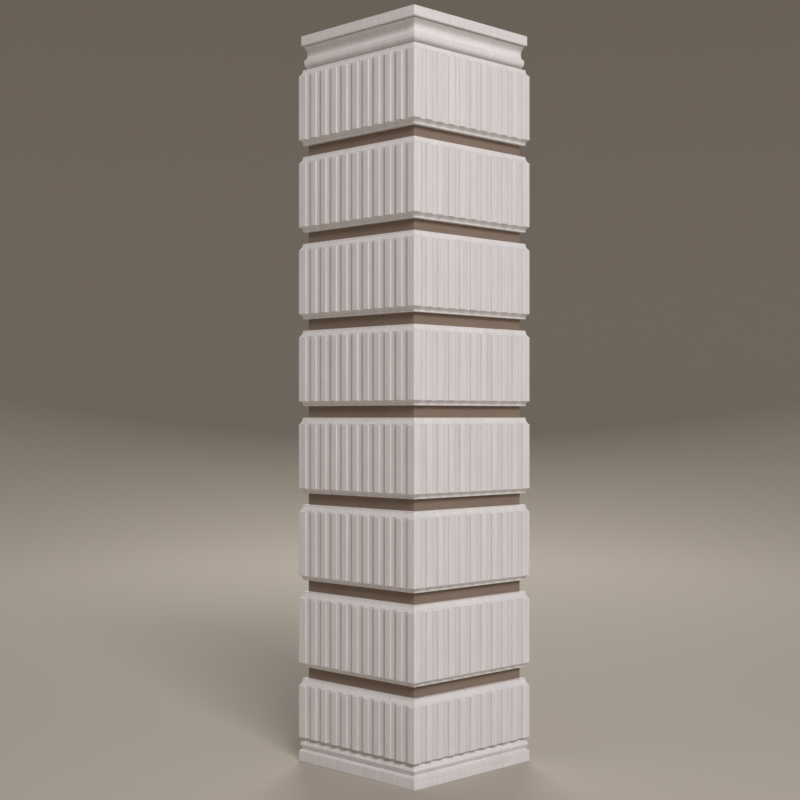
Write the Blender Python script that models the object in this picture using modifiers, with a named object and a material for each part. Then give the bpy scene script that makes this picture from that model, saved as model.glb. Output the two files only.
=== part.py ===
"""Fluted corner quoin, a storey high: a column of L-shaped blocks on a corner board.

Two equal wings meet at the corner edge, the arris. The left wing's face looks along -Y and the
right wing's along +X, so the arris stands at +X, -Y. Every piece is drawn as a profile for the
left wing, carried along it, cut at 45 degrees on the diagonal and mirrored into the right wing.
A profile point is (r, z): r is how far it stands back from the ribbed faces, z its height.
"""

from math import cos, pi, radians, sin

import bmesh
import bpy
from mathutils import Matrix, Vector

MM = 0.001

# Whole object
HEIGHT = 2400 * MM
WING = 540 * MM          # length of each face, from the arris to the free end
DEPTH = 52 * MM          # from the ribbed face back to the wall
JOINT = 0.3 * MM         # gap between pieces that touch
ARRIS = WING / 2         # the arris stands at (ARRIS, -ARRIS), so the box is centred

# Blocks
BLOCK_COUNT = 8
BLOCK_PITCH = 288 * MM
BLOCK_HEIGHT = 250 * MM
BLOCK_DEPTH = 34 * MM    # how far the ribbed face stands in front of the board
EDGE_RECESS = 17 * MM    # how far the fillets stand back from the ribbed face
TOP_FILLET = 6 * MM
TOP_CAVETTO = 17 * MM
BOTTOM_FILLET = 5.5 * MM
BOTTOM_CAVETTO = 10.5 * MM
CAVETTO_BULGE = 2 * MM   # how deep the cavetto's hollow is, under its chord

# Grooves in each wing
GROOVE_COUNT = 10
GROOVE_PITCH = 50 * MM
GROOVE_WIDTH = 26 * MM
GROOVE_DEPTH = 6 * MM
ARRIS_RIB = 30 * MM      # plain strip between the arris and the first groove

# Board behind the blocks
BOARD_SHORT = 10 * MM    # how far its ends stand back from the blocks' ends

# Cap moulding
CAP_HEIGHT = 111 * MM
FASCIA_RECESS = 10 * MM
FASCIA_HEIGHT = 31 * MM
CAP_FILLET_RECESS = 22 * MM
CAP_FILLET_HEIGHT = 4 * MM
COVE_HEIGHT = 43 * MM
COVE_BULGE = 14.5 * MM
BEAD_RECESS = 24 * MM    # where the cove ends and the bead starts
BEAD_HEIGHT = 25 * MM
BEAD_NOSE = 1 * MM       # how far the bead swells out past the end of the cove
BEAD_ROUND = 16 * MM     # height of the bead's rounded underside
CAP_FOOT_RECESS = 42 * MM

# Base moulding
BASE_HEIGHT = 80 * MM
PLINTH_HEIGHT = 37 * MM
NOTCH_RECESS = 17.5 * MM
BASE_BEAD_RECESS = 6 * MM
BASE_BEAD_BOTTOM = 40.5 * MM
BASE_BEAD_HEIGHT = 31 * MM

# Finish: linear colours and roughness of the two paints
WHITE_PAINT = (0.78, 0.76, 0.74)
WHITE_ROUGHNESS = 0.6
BROWN_PAINT = (0.17, 0.12, 0.085)
BROWN_ROUGHNESS = 0.7

# Drawing
ARC_STEPS = 4
BEAD_STEPS = 6
SHARP_ANGLE = radians(25)  # arcs turn less than this at each step, edges more
WELD = 0.001 * MM
SEAM_WELD = 0.05 * MM
OVERSHOOT = 60 * MM      # how far a wing runs past the arris before it is cut at 45 degrees
CUTTER_SLACK = 20 * MM   # how far a cutter stands out of what it cuts

BLOCK_TOP = HEIGHT - CAP_HEIGHT


def clear_scene():
    for obj in list(bpy.data.objects):
        bpy.data.objects.remove(obj, do_unlink=True)


def new_collection(name):
    collection = bpy.data.collections.new(name)
    bpy.context.scene.collection.children.link(collection)
    return collection


def material(name, color, roughness):
    mat = bpy.data.materials.new(name)
    mat.use_nodes = True
    shader = mat.node_tree.nodes["Principled BSDF"]
    shader.inputs["Base Color"].default_value = (*color, 1)
    shader.inputs["Roughness"].default_value = roughness
    shader.inputs["Metallic"].default_value = 0
    return mat


def hollow(start, end, bulge, steps=ARC_STEPS):
    """Points after start, up to end, on the circular arc that sinks by bulge under their chord.

    The hollow lies to the left of the way from start to end, as (r, z) is drawn with r to the
    right. A negative bulge makes a swelling.
    """
    start = Vector(start)
    end = Vector(end)
    chord = end - start
    half = chord.length / 2
    radius = (half * half + bulge * bulge) / (2 * abs(bulge))
    side = Vector((-chord.y, chord.x)).normalized() * (1 if bulge > 0 else -1)
    middle = (start + end) / 2
    centre = middle - side * (radius - abs(bulge))
    first = start - centre
    turn = first.angle_signed(end - centre)
    turns = [Matrix.Rotation(-turn * i / steps, 2) for i in range(1, steps + 1)]
    return [tuple(centre + step @ first) for step in turns]


def swelling(centre, reach, drop, start, end, steps=BEAD_STEPS):
    """Points on an ellipse around centre, from angle start to end, 180 degrees being outermost."""
    angles = [radians(start + (end - start) * i / steps) for i in range(steps + 1)]
    return [(centre[0] + reach * cos(a), centre[1] + drop * sin(a)) for a in angles]


def block_profile(top, height, moulded_bottom=True):
    """A block's section: fillet and cavetto above and below the ribbed face."""
    bottom = top - height
    face_top = top - TOP_FILLET - TOP_CAVETTO
    points = [(BLOCK_DEPTH, top), (EDGE_RECESS, top), (EDGE_RECESS, top - TOP_FILLET)]
    points += hollow(points[-1], (0, face_top), CAVETTO_BULGE)
    if moulded_bottom:
        points += [(0, bottom + BOTTOM_FILLET + BOTTOM_CAVETTO)]
        points += hollow(points[-1], (EDGE_RECESS, bottom + BOTTOM_FILLET), CAVETTO_BULGE)
        points += [(EDGE_RECESS, bottom)]
    else:
        points += [(0, bottom)]
    return points + [(BLOCK_DEPTH, bottom)]


def cap_profile():
    """The cap's section, from the top: fascia, fillet, cove, bead and a recessed foot."""
    fascia_bottom = HEIGHT - FASCIA_HEIGHT
    cove_top = fascia_bottom - CAP_FILLET_HEIGHT
    cove_bottom = cove_top - COVE_HEIGHT
    bead_bottom = cove_bottom - BEAD_HEIGHT
    points = [(DEPTH, HEIGHT), (FASCIA_RECESS, HEIGHT), (FASCIA_RECESS, fascia_bottom)]
    points += [(CAP_FILLET_RECESS, fascia_bottom), (CAP_FILLET_RECESS, cove_top)]
    points += hollow(points[-1], (BEAD_RECESS, cove_bottom), COVE_BULGE, 2 * ARC_STEPS)
    centre = (CAP_FOOT_RECESS, bead_bottom + BEAD_ROUND)
    points += swelling(centre, CAP_FOOT_RECESS - BEAD_RECESS + BEAD_NOSE, BEAD_ROUND, 180, 270)
    return points + [(CAP_FOOT_RECESS, BLOCK_TOP), (DEPTH, BLOCK_TOP)]


def base_profile():
    """The base's section, from the top: notch, bead, notch and plinth."""
    centre = (NOTCH_RECESS, BASE_BEAD_BOTTOM + BASE_BEAD_HEIGHT / 2)
    points = [(DEPTH, BASE_HEIGHT), (NOTCH_RECESS, BASE_HEIGHT)]
    points += swelling(centre, NOTCH_RECESS - BASE_BEAD_RECESS, BASE_BEAD_HEIGHT / 2, 90, 270, 2 * BEAD_STEPS)
    points += [(NOTCH_RECESS, PLINTH_HEIGHT), (0, PLINTH_HEIGHT), (0, 0)]
    return points + [(DEPTH, 0)]


def board_profile():
    """The corner board's section: a plain plank between base and cap."""
    front = BLOCK_DEPTH + JOINT
    top = BLOCK_TOP - JOINT
    bottom = BASE_HEIGHT + JOINT
    return [(DEPTH, top), (front, top), (front, bottom), (DEPTH, bottom)]


def carry_along_left_wing(name, profile, free_end=0.0):
    """Extrude a profile along the left wing, from its free end to past the arris, as a mesh."""
    start = -ARRIS + free_end
    end = ARRIS + OVERSHOOT
    curve = bpy.data.curves.new(name, "CURVE")
    curve.dimensions = "2D"
    curve.fill_mode = "BOTH"
    curve.extrude = (end - start) / 2
    spline = curve.splines.new("POLY")
    spline.points.add(len(profile) - 1)
    for point, (r, z) in zip(spline.points, profile):
        point.co = (r, z, 0, 1)
    spline.use_cyclic_u = True
    outline = bpy.data.objects.new(name + "_outline", curve)
    bpy.context.scene.collection.objects.link(outline)
    outline.location = ((start + end) / 2, -ARRIS, 0)
    outline.rotation_euler = (pi / 2, 0, pi / 2)
    bpy.context.view_layer.update()
    evaluated = outline.evaluated_get(bpy.context.evaluated_depsgraph_get())
    mesh = bpy.data.meshes.new_from_object(evaluated)
    mesh.name = name
    obj = bpy.data.objects.new(name, mesh)
    obj.matrix_world = outline.matrix_world.copy()
    bpy.data.objects.remove(outline, do_unlink=True)
    weld = bmesh.new()
    weld.from_mesh(mesh)
    bmesh.ops.remove_doubles(weld, verts=weld.verts, dist=WELD)
    bmesh.ops.recalc_face_normals(weld, faces=weld.faces)
    weld.to_mesh(mesh)
    weld.free()
    return obj


def mirror_into_right_wing(obj, diagonal):
    mirror = obj.modifiers.new("second_wing", "MIRROR")
    mirror.mirror_object = diagonal
    mirror.use_axis = (True, False, False)
    mirror.use_bisect_axis = (True, False, False)
    mirror.use_mirror_merge = True
    mirror.merge_threshold = SEAM_WELD


def cut_grooves(obj, cutter):
    cut = obj.modifiers.new("grooves", "BOOLEAN")
    cut.operation = "DIFFERENCE"
    cut.solver = "EXACT"
    cut.object = cutter


def diagonal_plane(collection):
    """An empty whose X axis is square to the 45 degree cut and points to the left wing."""
    empty = bpy.data.objects.new("diagonal", None)
    empty.rotation_euler = (0, 0, radians(225))
    collection.objects.link(empty)
    return empty


def groove_cutter(collection):
    """One tall box for each groove of the left wing."""
    boxes = bmesh.new()
    depth = GROOVE_DEPTH + CUTTER_SLACK
    for i in range(GROOVE_COUNT):
        middle = ARRIS_RIB + GROOVE_WIDTH / 2 + i * GROOVE_PITCH
        place = Matrix.Translation((ARRIS - middle, -ARRIS + GROOVE_DEPTH - depth / 2, HEIGHT / 2))
        size = Matrix.Diagonal((GROOVE_WIDTH, depth, HEIGHT, 1))
        bmesh.ops.create_cube(boxes, size=1, matrix=place @ size)
    mesh = bpy.data.meshes.new("groove_cutter")
    boxes.to_mesh(mesh)
    boxes.free()
    cutter = bpy.data.objects.new("groove_cutter", mesh)
    cutter.hide_render = True
    cutter.display_type = "WIRE"
    collection.objects.link(cutter)
    return cutter


def keep_modified_mesh(piece):
    """Make the modifiers' result the piece's own mesh, smooth round its arcs, sharp at its edges."""
    bpy.context.view_layer.update()
    evaluated = piece.evaluated_get(bpy.context.evaluated_depsgraph_get())
    mesh = bpy.data.meshes.new_from_object(evaluated)
    mesh.name = piece.name
    mesh.shade_smooth()
    mesh.set_sharp_from_angle(angle=SHARP_ANGLE)
    piece.modifiers.clear()
    piece.data = mesh


def add_piece(name, profile, mat, collection, diagonal, cutter=None, free_end=0.0):
    piece = carry_along_left_wing(name, profile, free_end)
    collection.objects.link(piece)
    piece.data.materials.append(mat)
    if cutter:
        cut_grooves(piece, cutter)
    mirror_into_right_wing(piece, diagonal)
    keep_modified_mesh(piece)


def build():
    clear_scene()
    parts = new_collection("fluted_corner_quoin")
    cutters = new_collection("cutters")
    white = material("matt_white_paint", WHITE_PAINT, WHITE_ROUGHNESS)
    brown = material("brown_wall_paint", BROWN_PAINT, BROWN_ROUGHNESS)
    diagonal = diagonal_plane(cutters)
    cutter = groove_cutter(cutters)

    add_piece("cap_moulding", cap_profile(), white, parts, diagonal)
    for i in range(BLOCK_COUNT):
        top = BLOCK_TOP - JOINT - i * BLOCK_PITCH
        lowest = i == BLOCK_COUNT - 1
        height = top - BASE_HEIGHT - JOINT if lowest else BLOCK_HEIGHT
        profile = block_profile(top, height, moulded_bottom=not lowest)
        add_piece(f"quoin_block_{i + 1}", profile, white, parts, diagonal, cutter)
    add_piece("base_moulding", base_profile(), white, parts, diagonal)
    add_piece("corner_board", board_profile(), brown, parts, diagonal, free_end=BOARD_SHORT)


build()
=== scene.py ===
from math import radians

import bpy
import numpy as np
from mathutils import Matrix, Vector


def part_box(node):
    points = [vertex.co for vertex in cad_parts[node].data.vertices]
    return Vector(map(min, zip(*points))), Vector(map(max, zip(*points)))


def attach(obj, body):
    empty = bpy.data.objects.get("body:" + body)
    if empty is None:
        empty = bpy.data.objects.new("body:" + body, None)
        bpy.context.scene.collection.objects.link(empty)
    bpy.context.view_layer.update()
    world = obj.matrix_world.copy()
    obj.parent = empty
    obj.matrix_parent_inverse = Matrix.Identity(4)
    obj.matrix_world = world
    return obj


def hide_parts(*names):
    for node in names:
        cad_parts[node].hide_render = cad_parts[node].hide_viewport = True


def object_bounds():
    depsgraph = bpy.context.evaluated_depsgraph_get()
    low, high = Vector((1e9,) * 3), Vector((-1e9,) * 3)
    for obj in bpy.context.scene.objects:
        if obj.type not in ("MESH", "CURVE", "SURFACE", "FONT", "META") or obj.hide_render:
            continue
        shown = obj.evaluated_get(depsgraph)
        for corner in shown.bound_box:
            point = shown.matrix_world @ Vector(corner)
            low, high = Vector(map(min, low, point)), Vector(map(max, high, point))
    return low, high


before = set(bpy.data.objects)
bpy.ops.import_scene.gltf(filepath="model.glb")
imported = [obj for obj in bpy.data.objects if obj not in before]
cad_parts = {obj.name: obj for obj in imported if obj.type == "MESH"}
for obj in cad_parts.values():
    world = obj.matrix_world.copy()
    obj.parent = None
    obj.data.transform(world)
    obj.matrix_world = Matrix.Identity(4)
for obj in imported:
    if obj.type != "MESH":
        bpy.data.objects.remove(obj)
cad_low, cad_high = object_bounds()

# Looks of the fluted corner quoin: brush-painted white mouldings on a painted corner board.
#
# Every piece is an outline of (r, z) points carried along the two wings: r is the distance behind
# the ribbed faces and z the height. Along the path, d is the distance from the arris, the corner
# edge at +X, -Y. Lengths are in metres, and colours are sRGB hex.

MM = 0.001

# Read from the frame
ARRIS = cad_high.x                       # the arris stands at (ARRIS, -ARRIS)
WING = cad_high.x - cad_low.x
TOP = cad_high.z
CAP_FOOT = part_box("cap_moulding")[0].z
BASE_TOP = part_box("base_moulding")[1].z
BOARD_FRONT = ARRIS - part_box("corner_board")[1].x
BOARD_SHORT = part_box("corner_board")[0].x + ARRIS

# The rest repeats the solids' dimensions
DEPTH = 52 * MM
BLOCK_COUNT = 8
BLOCK_DEPTH = 34 * MM
EDGE_RECESS = 17 * MM
TOP_FILLET = 6 * MM
TOP_CAVETTO = 17 * MM
BOTTOM_FILLET = 5.5 * MM
BOTTOM_CAVETTO = 10.5 * MM
CAVETTO_SAG = 2 * MM

GROOVE_COUNT = 10
GROOVE_PITCH = 50 * MM
GROOVE_WIDTH = 26 * MM
GROOVE_DEPTH = 6 * MM
ARRIS_RIB = 30 * MM

FASCIA_RECESS = 10 * MM
FASCIA_HEIGHT = 31 * MM
CAP_FILLET_RECESS = 22 * MM
CAP_FILLET_HEIGHT = 4 * MM
COVE_HEIGHT = 43 * MM
COVE_SAG = 14.5 * MM
BEAD_RECESS = 24 * MM
BEAD_HEIGHT = 25 * MM
BEAD_NOSE = 1 * MM
BEAD_ROUND = 16 * MM
CAP_FOOT_RECESS = 42 * MM

PLINTH_HEIGHT = 37 * MM
NOTCH_RECESS = 17.5 * MM
BASE_BEAD_RECESS = 6 * MM
BASE_BEAD_BOTTOM = 40.5 * MM
BASE_BEAD_HEIGHT = 31 * MM

# Paint rounds the edges a little
EDGE = 0.9 * MM           # radius of an outer edge
INNER = 0.6 * MM          # radius of an inner corner
ARRIS_ROUND = 1.2 * MM
END_ROUND = 0.7 * MM
GROOVE_DRAFT = 0.5 * MM   # how far a groove's wall leans open
GROOVE_HOLLOW = 1.4 * MM  # how much deeper its floor is in the middle
GUARD = 0.4 * MM          # a point this far past each arc keeps the flat beside it flat
RIB_STEP = 2.6 * MM       # how far a rib's foot hangs over the cavetto below it
QUIRK_DEPTH = 4 * MM      # of the narrow slot under the fascia
QUIRK_HEIGHT = 1.8 * MM
PLINTH_SPLAY = 5 * MM     # how far the plinth's upper side slopes down to its front edge
FOOT_EDGE = 2 * MM        # radius of the plinth's worn lower edge
BASE_BEAD_POWER = 1.35    # between 1, a pointed bead, and 2, a round one
# Painted shade in the grooves: the white is drawn darker on the grooves' walls and across their floors, where shade
# falls
PAINTED_SHADE_REACH = 7 * MM       # from a groove's wall across its floor
FLOOR_PAINTED_SHADE = 0.3          # in the middle of the floor, where a wall has 1

EDGE_STEPS = 3
GROOVE_STEPS = 8
CAVETTO_STEPS = 7
CROSSING_STEPS = 4
COVE_STEPS = 28
BEAD_STEPS = 18
FACE_ROWS = 6

SHARP_ANGLE = radians(50)

# Colours
WHITE = "#E9E6E5"
CREAM = "#DDD2B8"
BROWN = "#8A7869"
MDF = "#A98D6B"
PAPER = "#BFB6AB"
PAINTED_SHADE_DARKNESS = 0.25               # how much darker the painted shade in the grooves makes the paint
AIR = "#EEDFCF"
AIR_STRENGTH = 0.15

# The studio, in metres
FLOOR_RADIUS = 6
WALL_REACH = 10
WALL_HEIGHT = 10
WALL_STEPS = 32
BACKDROP_SIDES = 96

# The photograph's frame, in its pixels, and the camera that took it
FRAME_PX = 800
ARRIS_PX = 414.2
HORIZON_PX = 416
FOCAL_PX = 1437
CAMERA_DISTANCE = 4.375
CAMERA_HEIGHT = 1.142

# Near the arris a column of points leans with the 45 degree mitre. The lean ends at MITRE_ZONE
# for the fronts, and further out by MITRE_SPREAD times the depth behind EDGE_RECESS.
MITRE_ZONE = 28 * MM
MITRE_SPREAD = 2.2


# Outlines

def swept(centre, start, end, turn, t):
    """Points of the arc from start to end about centre, at fractions t of its turn: the spherical
    mix sin((1 - t) turn) / sin(turn) of one radius and sin(t turn) / sin(turn) of the other."""
    t = np.asarray(t)[:, None]
    mix = np.sin((1 - t) * turn) * (start - centre) + np.sin(t * turn) * (end - centre)
    return centre + mix / np.sin(turn)


def bowed(start, end, sag, t):
    """Points at fractions t of the circular arc from start to end that bows by sag to the left of
    the way. Its radius is (half chord squared + sag squared) / (2 sag)."""
    start, end = np.array(start), np.array(end)
    half = np.linalg.norm(end - start) / 2
    radius = (half**2 + sag**2) / (2 * sag)
    along = (end - start) / (2 * half)
    left = np.array((-along[1], along[0]))
    centre = (start + end) / 2 - left * (radius - sag)
    return swept(centre, start, end, 2 * np.arcsin(half / radius), t)


def cavetto(start, end):
    """A shallow hollow in even steps, with more points where it crosses the grooves' floor."""
    fine = np.linspace(0, 1, 400)
    r = bowed(start, end, CAVETTO_SAG, fine)[:, 0]
    order = np.argsort(r)
    floor = np.linspace(GROOVE_DEPTH - GROOVE_HOLLOW, GROOVE_DEPTH, CROSSING_STEPS + 1)
    crossings = np.interp(floor, r[order], fine[order])
    t = np.sort(np.append(np.linspace(0, 1, CAVETTO_STEPS + 1), crossings))
    return sharp(bowed(start, end, CAVETTO_SAG, t)[1:-1])


def sharp(points):
    """Outline points that keep their place."""
    return [(r, z, 0) for r, z in points]


def ellipse(centre, reach, drop, start, end, steps):
    """Points centre + (reach cos a, drop sin a), with a from start to end in degrees."""
    a = np.radians(np.linspace(start, end, steps + 1))
    return sharp(np.stack([centre[0] + reach * np.cos(a), centre[1] + drop * np.sin(a)], 1))


def rounded(corners, closed=True):
    """An outline with its corners (r, z, radius) rounded: each becomes the arc of that radius that
    touches both its sides. The arc's centre lies on the bisector, at radius / sin(half angle)."""
    places = [np.array(corner[:2]) for corner in corners]
    points = []
    for i, here in enumerate(places):
        radius = corners[i][2]
        if radius == 0 or (not closed and i in (0, len(places) - 1)):
            points.append(here[None])
            continue
        back = places[i - 1] - here
        on = places[(i + 1) % len(places)] - here
        back /= np.linalg.norm(back)
        on /= np.linalg.norm(on)
        half = np.arccos(back @ on) / 2
        centre = here + (back + on) / np.linalg.norm(back + on) * radius / np.sin(half)
        reach = radius / np.tan(half)
        start, end = here + back * reach, here + on * reach
        arc = swept(centre, start, end, np.pi - 2 * half, np.linspace(0, 1, EDGE_STEPS + 1))
        points += [(start + back * GUARD)[None], arc, (end + on * GUARD)[None]]
    return np.concatenate(points)


def block_outline(top, bottom, moulded_bottom):
    """A block's section: fillet and cavetto above and below the ribbed face."""
    face_top = top - TOP_FILLET - TOP_CAVETTO
    corners = [(BLOCK_DEPTH, top, 0), (EDGE_RECESS, top, EDGE), (EDGE_RECESS, top - TOP_FILLET, 0)]
    corners += cavetto((EDGE_RECESS, top - TOP_FILLET), (0, face_top))
    corners += [(0, face_top, EDGE)]
    face_bottom = bottom + (BOTTOM_FILLET + BOTTOM_CAVETTO if moulded_bottom else 0)
    rows = np.linspace(face_top, face_bottom, FACE_ROWS + 2)[1:-1]
    corners += [(0, z, 0) for z in rows]
    corners += [(0, face_bottom, EDGE)]
    if moulded_bottom:
        corners += [(RIB_STEP, face_bottom, 0)]
        corners += cavetto((RIB_STEP, face_bottom), (EDGE_RECESS, bottom + BOTTOM_FILLET))
        corners += [(EDGE_RECESS, bottom + BOTTOM_FILLET, 0), (EDGE_RECESS, bottom, EDGE)]
    return rounded(corners + [(BLOCK_DEPTH, bottom, 0)])


def cap_outline():
    """The cap's section, from the top: fascia, slot, fillet, cove, bead and a recessed foot."""
    fascia_bottom = TOP - FASCIA_HEIGHT
    cove_top = fascia_bottom - CAP_FILLET_HEIGHT
    cove_bottom = cove_top - COVE_HEIGHT
    bead_bottom = cove_bottom - BEAD_HEIGHT
    corners = [(DEPTH, TOP, 0), (FASCIA_RECESS, TOP, EDGE), (FASCIA_RECESS, fascia_bottom, EDGE)]
    slot = CAP_FILLET_RECESS + QUIRK_DEPTH
    corners += [(slot, fascia_bottom, 0), (slot, fascia_bottom - QUIRK_HEIGHT, 0)]
    corners += [(CAP_FILLET_RECESS, fascia_bottom - QUIRK_HEIGHT, INNER / 2), (CAP_FILLET_RECESS, cove_top, 0)]
    t = np.linspace(0, 1, COVE_STEPS + 1)
    corners += sharp(bowed((CAP_FILLET_RECESS, cove_top), (BEAD_RECESS, cove_bottom), COVE_SAG, t)[1:])
    centre = (CAP_FOOT_RECESS, bead_bottom + BEAD_ROUND)
    corners += ellipse(centre, CAP_FOOT_RECESS - BEAD_RECESS + BEAD_NOSE, BEAD_ROUND, 180, 270, BEAD_STEPS)
    return rounded(corners + [(CAP_FOOT_RECESS, CAP_FOOT, 0), (DEPTH, CAP_FOOT, 0)])


def base_outline():
    """The base's section, from the top: notch, bead, notch and plinth. The bead stands out from
    the notches by a reach times 1 - |v| to the BASE_BEAD_POWER, with v from 1 to -1 down it."""
    v = np.linspace(1, -1, 2 * BEAD_STEPS + 1)
    bead = (NOTCH_RECESS - BASE_BEAD_RECESS) * (1 - np.abs(v) ** BASE_BEAD_POWER)
    z = BASE_BEAD_BOTTOM + BASE_BEAD_HEIGHT * (1 + v) / 2
    corners = [(DEPTH, BASE_TOP, 0), (NOTCH_RECESS, BASE_TOP, EDGE)]
    corners += sharp(np.stack([NOTCH_RECESS - bead, z], 1))
    corners += [(NOTCH_RECESS, PLINTH_HEIGHT + PLINTH_SPLAY / 2, 0)]
    corners += [(0, PLINTH_HEIGHT - PLINTH_SPLAY / 2, EDGE), (0, 0, FOOT_EDGE)]
    return rounded(corners + [(DEPTH, 0, 0)])


def board_outline(top, bottom):
    """The corner board's section, a plain plank."""
    return rounded([(DEPTH, top, 0), (BOARD_FRONT, top, EDGE), (BOARD_FRONT, bottom, EDGE), (DEPTH, bottom, 0)])


# Surfaces

def groove_section():
    """The grooved face seen from above: places (d, depth) from the arris to the free end. Each
    groove has square walls and a floor that is a shallow arc."""
    corners = [(0, 0, 0)]
    wall = GROOVE_DEPTH - GROOVE_HOLLOW
    for i in range(GROOVE_COUNT):
        near = ARRIS_RIB + i * GROOVE_PITCH
        far = near + GROOVE_WIDTH
        start, end = (near + GROOVE_DRAFT, wall), (far - GROOVE_DRAFT, wall)
        floor = bowed(start, end, GROOVE_HOLLOW, np.linspace(0, 1, GROOVE_STEPS + 1)[1:-1])
        corners += [(near, 0, EDGE), (*start, INNER), *sharp(floor), (*end, INNER), (far, 0, EDGE)]
    return rounded(corners + [(WING, 0, 0)], closed=False).T


def painted_groove_shade(d, groove):
    """How much painted shade each place gets: 1 on a groove's walls, and less over the shade's reach from them, down to
    the floor's level.
    """
    place = (d - ARRIS_RIB) % GROOVE_PITCH
    near, far = GROOVE_DRAFT, GROOVE_WIDTH - GROOVE_DRAFT
    from_wall = np.minimum(np.abs(place - near), np.abs(place - far))
    return (groove > EDGE) * (FLOOR_PAINTED_SHADE + (1 - FLOOR_PAINTED_SHADE) * np.clip(1 - from_wall / PAINTED_SHADE_REACH, 0, 1))


def plain_section():
    """The same for a moulding without grooves: evenly spaced places of depth 0."""
    d = np.arange(MITRE_ZONE, WING, MITRE_ZONE)
    return d, np.zeros_like(d)


def columns(section, reach):
    """The section's places, with close ones added at the arris and at the free end, and by how
    much the outline shrinks at each: over the last END_ROUND it shrinks by END_ROUND (1 - cos a)
    where END_ROUND (1 - sin a) is left, so that the free end has a rounded edge."""
    a = np.linspace(0, np.pi / 2, EDGE_STEPS + 1)
    at_arris = np.append(ARRIS_ROUND * np.linspace(0, 1, EDGE_STEPS + 1), ARRIS_ROUND + GUARD)
    at_end = np.append(reach - END_ROUND - GUARD, reach - END_ROUND * (1 - np.sin(a)))
    d, groove = section
    inside = (d > at_arris[-1]) & (d < at_end[0])
    shrink = np.append(0, END_ROUND * (1 - np.cos(a)))
    before, after = np.zeros_like(at_arris), np.zeros_like(at_end)
    return (
        np.concatenate([at_arris, d[inside], at_end])[:, None],
        np.concatenate([before, groove[inside], after])[:, None],
        np.concatenate([before, np.zeros(inside.sum()), shrink])[:, None],
    )


def outward(outline):
    """The outline's normal at each point, square to the mean of its two sides."""
    side = np.roll(outline, -1, 0) - outline
    side /= np.linalg.norm(side, axis=1)[:, None]
    mean = side + np.roll(side, 1, 0)
    mean /= np.linalg.norm(mean, axis=1)[:, None]
    return mean[:, 1], -mean[:, 0]


def mirrored(left, right):
    """One array from the left wing's free end to the right wing's, with the arris once."""
    return np.concatenate([left[::-1], right[1:]])


def carried(outline, section, reach):
    """Points (column, row, xyz) of an outline carried along both wings, each column's place along
    the path, and how much painted shade each point gets in the grooves. The depth of a point is the larger of the
    outline's r and the groove's depth.
    The left wing's point at d is (ARRIS - beside, depth - ARRIS, z), and the right wing is its
    mirror image. beside is d + depth (1 - d / lean), so that d = 0 lies on the mitre and grooves
    past the lean stay square. The arris swings through 45 degrees on a circle of ARRIS_ROUND."""
    d, groove, shrink = columns(section, reach)
    normal = outward(outline)
    r = outline[:, 0] - shrink * normal[0]
    z = outline[:, 1] - shrink * normal[1]
    depth = np.maximum(r, groove)
    lean = MITRE_ZONE + MITRE_SPREAD * np.maximum(depth - EDGE_RECESS, 0)
    lean = np.where(d > ARRIS_ROUND + GUARD, lean, np.inf)
    beside = d + depth * np.maximum(1 - d / lean, 0)
    front = outline[:, 0] < outline[:, 0].max()
    swing = np.pi / 4 * np.clip(1 - d / ARRIS_ROUND, 0, 1)
    beside = beside + front * np.where(swing > 0, ARRIS_ROUND * (1 - np.sin(swing)) - d, 0)
    depth = depth + front * ARRIS_ROUND * (1 - np.cos(swing))
    left = np.stack([ARRIS - beside, depth - ARRIS, z], 2)
    right = np.stack([ARRIS - depth, beside - ARRIS, z], 2)
    # painted shade in the grooves, only where a groove cuts deeper than the outline
    groove_shade = painted_groove_shade(d, groove) * (groove >= r)
    return mirrored(left, right), mirrored(-d, d)[:, 0], mirrored(groove_shade, groove_shade)


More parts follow.
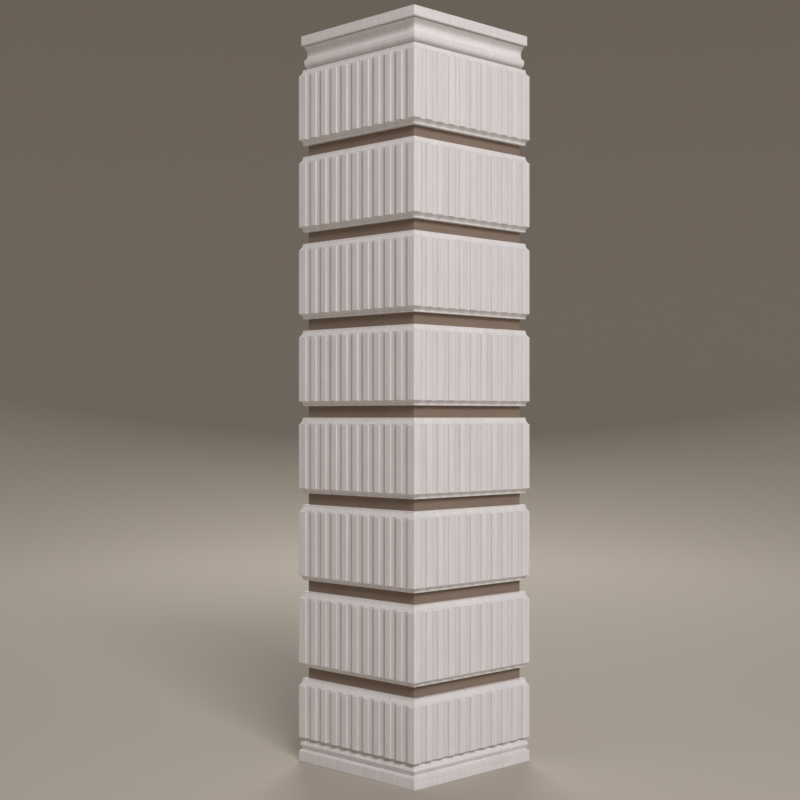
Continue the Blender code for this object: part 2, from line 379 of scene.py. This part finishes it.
def add_piece(node, outline, section, materials, index=0, free_end=0.0):
    """A closed mesh of an outline carried along both wings, which stands for its CAD node.

    The UV map "path" holds the place along the path and round the outline, in metres, moved on by
    one metre for each index so that no two pieces share their brush strokes. The attribute
    "moulded" is 1 on mouldings and 0 on the flat ribbed face, and the painted shade attribute is 1 on the grooves'
    walls, where shade is painted into the colour. The second material is for the back.
    """
    points, path, groove_shade = carried(outline, section, WING - free_end)
    count, rows = points.shape[:2]
    grid = np.arange(count * rows).reshape(count, rows)
    around = np.roll(grid, -1, 1)
    quads = np.stack([grid[:-1], around[:-1], around[1:], grid[1:]], 2).reshape(-1, 4)
    ends = [grid[0][::-1].tolist(), grid[-1].tolist()]
    mesh = bpy.data.meshes.new(node + "_painted")
    mesh.from_pydata(points.reshape(-1, 3), [], quads.tolist() + ends)

    steps = np.linalg.norm(np.roll(outline, -1, 0) - outline, axis=1)
    length = np.append(0, np.cumsum(steps)) + index
    u = np.broadcast_to(path[:, None], (count, rows))
    low = np.broadcast_to(length[:-1], (count, rows))
    high = np.broadcast_to(length[1:], (count, rows))
    on_quads = np.stack([u[:-1], low[:-1], u[:-1], high[:-1], u[1:], high[1:], u[1:], low[1:]], 2)
    down = outline[:, 1].max() - outline[:, 1] + index
    left_end = np.stack([path[0] - outline[:, 0], down], 1)[::-1]
    right_end = np.stack([path[-1] + outline[:, 0], down], 1)
    layer = mesh.uv_layers.new(name="path")
    uv = np.concatenate([on_quads.reshape(-1, 2), left_end, right_end])
    layer.uv.foreach_set("vector", uv.astype(np.float32).ravel())

    flat = np.isclose(outline[:, 0], 0) & (section[1].max() > 0)
    moulded = mesh.attributes.new("moulded", "FLOAT", "POINT")
    moulded.data.foreach_set("value", np.tile(1.0 - flat, count).astype(np.float32))
    # painted shade on the grooves' walls and floors, for the white's colour
    painted_shade = mesh.attributes.new("painted_shade", "FLOAT", "POINT")
    painted_shade.data.foreach_set("value", groove_shade.astype(np.float32).ravel())

    back = np.isclose(outline[:, 0], outline[:, 0].max())
    behind = np.tile(back & np.roll(back, -1), count - 1).astype(np.int32)
    for material in materials:
        mesh.materials.append(material)
    last = len(materials) - 1
    mesh.polygons.foreach_set("material_index", np.append(behind, (0, 0)) * last)
    mesh.shade_smooth()
    mesh.set_sharp_from_angle(angle=SHARP_ANGLE)
    mesh.update()
    piece = bpy.data.objects.new(mesh.name, mesh)
    bpy.context.scene.collection.objects.link(piece)
    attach(piece, "root")
    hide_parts(node)
    return piece


# Materials

def rgb(code):
    """The linear colour of an sRGB hex code, with alpha 1."""
    s = np.array([int(code[i:i + 2], 16) for i in (1, 3, 5)]) / 255
    return (*np.where(s <= 0.04045, s / 12.92, ((s + 0.055) / 1.055) ** 2.4), 1)


def node(tree, kind, settings, inputs):
    """Adds a node, sets its properties, and sets or links its inputs."""
    made = tree.nodes.new(kind)
    for name, value in settings.items():
        setattr(made, name, value)
    for name, value in inputs.items():
        if isinstance(value, bpy.types.NodeSocket):
            tree.links.new(value, made.inputs[name])
        else:
            made.inputs[name].default_value = value
    return made


def new_material(name, roughness, ior):
    material = bpy.data.materials.new(name)
    material.use_nodes = True
    shader = material.node_tree.nodes["Principled BSDF"]
    shader.inputs["Roughness"].default_value = roughness
    shader.inputs["IOR"].default_value = ior
    return material, material.node_tree, shader


def noise(tree, vector, across, along, detail=3.0):
    """Noise in grains of the given real size along the vector's first and second axis."""
    scale = (1 / across, 1 / along, 1 / along)
    stretched = node(tree, "ShaderNodeMapping", {}, {"Vector": vector, "Scale": scale})
    grain = {"Vector": stretched.outputs["Vector"], "Scale": 1.0, "Detail": detail}
    return node(tree, "ShaderNodeTexNoise", {}, grain).outputs["Fac"]


def ranged(tree, pattern, low, high, first=0.25, last=0.75):
    """The pattern's values from first to last spread over low to high."""
    ends = {"Value": pattern, "From Min": first, "From Max": last, "To Min": low, "To Max": high}
    return node(tree, "ShaderNodeMapRange", {}, ends).outputs["Result"]


def shaded(tree, base, *levels):
    """The colour base times each of the levels."""
    product = levels[0]
    for level in levels[1:]:
        product = node(tree, "ShaderNodeMath", {"operation": "MULTIPLY"}, {0: product, 1: level}).outputs[0]
    scaled = {0: rgb(base)[:3], "Scale": product}
    return node(tree, "ShaderNodeVectorMath", {"operation": "SCALE"}, scaled).outputs["Vector"]


def around(tree, pattern, amount):
    """A level that the pattern moves by amount above and below 1."""
    return ranged(tree, pattern, 1 - amount, 1 + amount)


def matt_white_emulsion():
    """Brushed matt emulsion on a rigid polyurethane moulding: a chalky, hardly glossy white whose
    brush strokes run down the ribs and along the mouldings. The strokes are drawn 6 mm wide, some
    six times their real width, so that they show."""
    material, tree, shader = new_material("matt_white_emulsion_on_polyurethane", 0.62, 1.48)
    path = node(tree, "ShaderNodeUVMap", {"uv_map": "path"}, {}).outputs["UV"]
    place = node(tree, "ShaderNodeTexCoord", {}, {}).outputs["Object"]
    moulded = node(tree, "ShaderNodeAttribute", {"attribute_name": "moulded"}, {}).outputs["Fac"]
    down = noise(tree, path, 6 * MM, 200 * MM)
    along = noise(tree, path, 160 * MM, 5 * MM)
    strokes = node(tree, "ShaderNodeMix", {}, {"Factor": moulded, "A": down, "B": along}).outputs["Result"]
    ribs = noise(tree, path, 16 * MM, 900 * MM, 1.0)
    cloud = noise(tree, place, 90 * MM, 90 * MM, 2.0)
    # Painted shade: the paint is drawn up to a quarter darker on the grooves' walls and across their floors, where
    # shade falls
    painted_shade = node(tree, "ShaderNodeAttribute", {"attribute_name": "painted_shade"}, {}).outputs["Fac"]
    groove_shade = ranged(tree, painted_shade, 1, 1 - PAINTED_SHADE_DARKNESS, 0, 1)
    streaks = around(tree, strokes, 0.06)
    colour = shaded(tree, WHITE, streaks, around(tree, ribs, 0.05), around(tree, cloud, 0.02), groove_shade)
    tree.links.new(colour, shader.inputs["Base Color"])
    bump = {"Height": strokes, "Strength": 0.5, "Distance": 0.25 * MM}
    relief = node(tree, "ShaderNodeBump", {}, bump).outputs["Normal"]
    tree.links.new(relief, shader.inputs["Normal"])
    return material


def brown_wall_emulsion():
    """Rolled matt emulsion on MDF: the brown of the wall, with the roller's fine orange peel,
    drawn 5 mm wide, twice its real size, and cloudy patches a hand wide."""
    material, tree, shader = new_material("brown_rolled_emulsion_on_mdf", 0.7, 1.48)
    place = node(tree, "ShaderNodeTexCoord", {}, {}).outputs["Object"]
    peel = noise(tree, place, 5 * MM, 5 * MM)
    cloud = noise(tree, place, 80 * MM, 80 * MM, 2.0)
    colour = shaded(tree, BROWN, around(tree, peel, 0.05), around(tree, cloud, 0.05))
    tree.links.new(colour, shader.inputs["Base Color"])
    bump = {"Height": peel, "Strength": 0.5, "Distance": 0.3 * MM}
    relief = node(tree, "ShaderNodeBump", {}, bump).outputs["Normal"]
    tree.links.new(relief, shader.inputs["Normal"])
    return material


def bare_mdf():
    """The board's unpainted back: sanded MDF, tan and even, with short fibres 3 mm long."""
    material, tree, shader = new_material("bare_sanded_mdf", 0.8, 1.48)
    place = node(tree, "ShaderNodeTexCoord", {}, {}).outputs["Object"]
    fibres = noise(tree, place, 3 * MM, 3 * MM, 4.0)
    cloud = noise(tree, place, 120 * MM, 120 * MM, 2.0)
    colour = shaded(tree, MDF, around(tree, fibres, 0.08), around(tree, cloud, 0.04))
    tree.links.new(colour, shader.inputs["Base Color"])
    return material


def bare_polyurethane():
    """The mouldings' unpainted back: cream foam skin with a faint dimpled surface."""
    material, tree, shader = new_material("bare_cream_polyurethane", 0.55, 1.5)
    place = node(tree, "ShaderNodeTexCoord", {}, {}).outputs["Object"]
    dimples = noise(tree, place, 6 * MM, 6 * MM)
    tree.links.new(shaded(tree, CREAM, around(tree, dimples, 0.04)), shader.inputs["Base Color"])
    return material


# Studio

def add_backdrop():
    """A round pale floor that rises into a plain wall: at FLOOR_RADIUS + WALL_REACH t from the
    upright axis its height is WALL_HEIGHT t cubed, with t from 0 to 1."""
    t = np.linspace(0, 1, WALL_STEPS + 1)[:, None]
    distance = FLOOR_RADIUS + WALL_REACH * t
    turn = np.linspace(0, 2 * np.pi, BACKDROP_SIDES, endpoint=False)
    height = WALL_HEIGHT * t**3 + 0 * turn
    points = np.stack([distance * np.cos(turn), distance * np.sin(turn), height], 2)
    grid = np.arange(height.size).reshape(height.shape)
    on = np.roll(grid, -1, 1)
    wall = np.stack([grid[:-1], on[:-1], on[1:], grid[1:]], 2).reshape(-1, 4)
    mesh = bpy.data.meshes.new("studio_backdrop")
    mesh.from_pydata(points.reshape(-1, 3), [], [grid[0].tolist()] + wall.tolist())
    mesh.polygons.foreach_set("use_smooth", [False] + [True] * len(wall))
    material, tree, shader = new_material("pale_studio_paper", 0.9, 1.45)
    shader.inputs["Base Color"].default_value = rgb(PAPER)
    mesh.materials.append(material)
    backdrop = bpy.data.objects.new("studio_backdrop", mesh)
    bpy.context.scene.collection.objects.link(backdrop)


def add_light(name, azimuth, elevation, distance, size, power, colour):
    """A square soft light that looks at the quoin's middle. Azimuth 0 is the side of -Y and 90
    the side of +X."""
    a, e = radians(azimuth), radians(elevation)
    away = Vector((np.sin(a) * np.cos(e), -np.cos(a) * np.cos(e), np.sin(e)))
    data = bpy.data.lights.new(name, "AREA")
    data.size = size
    data.energy = power
    data.color = rgb(colour)[:3]
    light = bpy.data.objects.new(name, data)
    light.location = Vector((0, 0, TOP / 2)) + away * distance
    light.rotation_euler = away.to_track_quat("Z", "Y").to_euler()
    bpy.context.scene.collection.objects.link(light)


def add_world():
    world = bpy.data.worlds.new("studio_air")
    world.use_nodes = True
    background = world.node_tree.nodes["Background"]
    background.inputs["Color"].default_value = rgb(AIR)
    background.inputs["Strength"].default_value = AIR_STRENGTH
    bpy.context.scene.world = world


def add_camera():
    """The photograph's camera: level, on the diagonal through the arris. Its shift puts the arris
    and the horizon where the photograph has them."""
    data = bpy.data.cameras.new("camera")
    data.lens = FOCAL_PX / FRAME_PX * data.sensor_width
    data.shift_x = (FRAME_PX / 2 - ARRIS_PX) / FRAME_PX
    data.shift_y = (HORIZON_PX - FRAME_PX / 2) / FRAME_PX
    camera = bpy.data.objects.new("camera", data)
    aside = CAMERA_DISTANCE / np.sqrt(2)
    camera.location = (ARRIS + aside, -ARRIS - aside, CAMERA_HEIGHT)
    camera.rotation_euler = (radians(90), 0, radians(45))
    bpy.context.scene.collection.objects.link(camera)
    bpy.context.scene.camera = camera


def build():
    white = [matt_white_emulsion(), bare_polyurethane()]
    brown = [brown_wall_emulsion(), bare_mdf()]
    ribs, plain = groove_section(), plain_section()
    for i in range(1, BLOCK_COUNT + 1):
        low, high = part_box(f"quoin_block_{i}")
        outline = block_outline(high.z, low.z, moulded_bottom=i < BLOCK_COUNT)
        add_piece(f"quoin_block_{i}", outline, ribs, white, i)
    add_piece("cap_moulding", cap_outline(), plain, white, BLOCK_COUNT + 1)
    add_piece("base_moulding", base_outline(), plain, white, BLOCK_COUNT + 2)
    low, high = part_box("corner_board")
    board = board_outline(high.z, low.z)
    add_piece("corner_board", board, plain, brown, free_end=BOARD_SHORT)


build()
add_backdrop()
add_world()
add_light("key_light", 61, 30, 11.0, 4.0, 830, "#FBFBFF")
add_light("back_light", 225, 30, 9.0, 4.0, 330, "#FFFFFF")
add_camera()
bpy.context.scene.view_settings.view_transform = "Standard"
